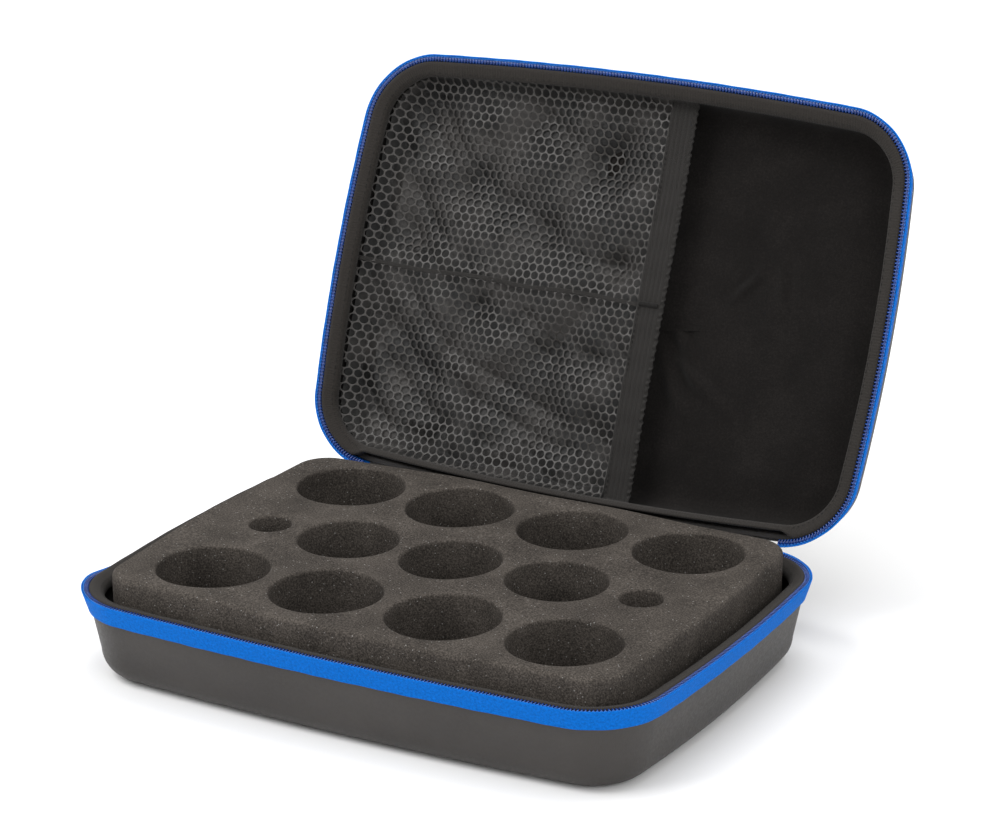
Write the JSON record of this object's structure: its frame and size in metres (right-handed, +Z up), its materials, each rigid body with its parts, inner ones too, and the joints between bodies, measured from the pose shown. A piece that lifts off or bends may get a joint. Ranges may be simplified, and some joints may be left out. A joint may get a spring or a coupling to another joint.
{
  "type": "zip-round moulded carry case with foam insert",
  "caption": "Hard-moulded zip-round carry case, open, with a foam insert of round wells in the base and a mesh pocket in the lid.",
  "frame": {"origin": "middle of the base's flat resting face", "axes": "+X to the right along the long front side, +Y from the front towards the hinge, +Z up"},
  "size_m": [0.2744, 0.2908, 0.2171],
  "materials": {
    "shell": "smooth moulded synthetic leather over foam board, satin",
    "lining": "brushed knit lining, matt",
    "binding": "ribbed grosgrain ribbon, matt",
    "zip_tape": "close woven zip tape, soft sheen",
    "zip_coil": "nylon coil, semi-gloss",
    "foam": "open-cell foam, matt with fine cells",
    "mesh": "hexagonal net with a slight sheen",
    "elastic": "ribbed woven elastic",
    "hinge_fabric": "woven nylon webbing",
    "slider_metal": "black enamelled zinc, semi-gloss",
    "stop_metal": "pressed metal clamp, satin",
    "pull": "moulded black pull, satin"
  },
  "bodies": {
    "base": {"lower_shell": "shell", "lower_lining": "lining", "lower_binding": "binding", "lower_zip_tape": "zip_tape", "lower_zip_coil": "zip_coil", "foam_insert": "foam", "foam_base_sheet": "foam", "hinge_flap_lower": "hinge_fabric"},
    "lid": {"lid_shell": "shell", "lid_lining": "lining", "lid_binding": "binding", "lid_zip_tape": "zip_tape", "lid_zip_coil": "zip_coil", "pocket_mesh_upper": "mesh", "pocket_mesh_lower": "mesh", "pocket_seam_tape": "elastic", "pocket_elastic": "elastic", "pocket_elastic_tack": "elastic", "hinge_flap_upper": "hinge_fabric"},
    "chain_left": {"zip_chain_left": "zip_coil", "zip_stop_left": "stop_metal"},
    "chain_right": {"zip_chain_right": "zip_coil", "zip_stop_right": "stop_metal"},
    "slider_left": {"slider_left": "slider_metal"},
    "slider_right": {"slider_right": "slider_metal"},
    "pull_left": {"pull_tab_left": "pull"},
    "pull_right": {"pull_tab_right": "pull"}
  },
  "joints": [
    {"name": "lid_hinge", "type": "hinge", "parent": "base", "child": "lid", "pos_m": [0, 0.0974, 0.0366], "axis": [-1, 0, 0], "range_deg": [-112, 50]},
    {"name": "chain_tilt_left", "type": "hinge", "parent": "base", "child": "chain_left", "pos_m": [-0.078, 0.0974, 0.0366], "axis": [-1, 0, 0], "range_deg": [-56, 25]},
    {"name": "chain_tilt_right", "type": "hinge", "parent": "base", "child": "chain_right", "pos_m": [0.078, 0.0974, 0.0366], "axis": [-1, 0, 0], "range_deg": [-56, 25]},
    {"name": "slider_travel_left", "type": "slide", "parent": "chain_left", "child": "slider_left", "axis": [-1, 0, 0], "range_m": [0, 0.02]},
    {"name": "slider_travel_right", "type": "slide", "parent": "chain_right", "child": "slider_right", "axis": [1, 0, 0], "range_m": [0, 0.02]},
    {"name": "pull_swing_left", "type": "hinge", "parent": "slider_left", "child": "pull_left", "pos_m": [-0.072, 0.09936, 0.0337], "axis": [0, 0.829, 0.5592], "range_deg": [-60, 60]},
    {"name": "pull_swing_right", "type": "hinge", "parent": "slider_right", "child": "pull_right", "pos_m": [0.072, 0.09936, 0.0337], "axis": [0, 0.829, 0.5592], "range_deg": [-60, 60]}
  ],
  "couplings": [
    {"joint": "chain_tilt_left", "follows": "lid_hinge", "ratio": 0.5},
    {"joint": "chain_tilt_right", "follows": "lid_hinge", "ratio": 0.5}
  ]
}
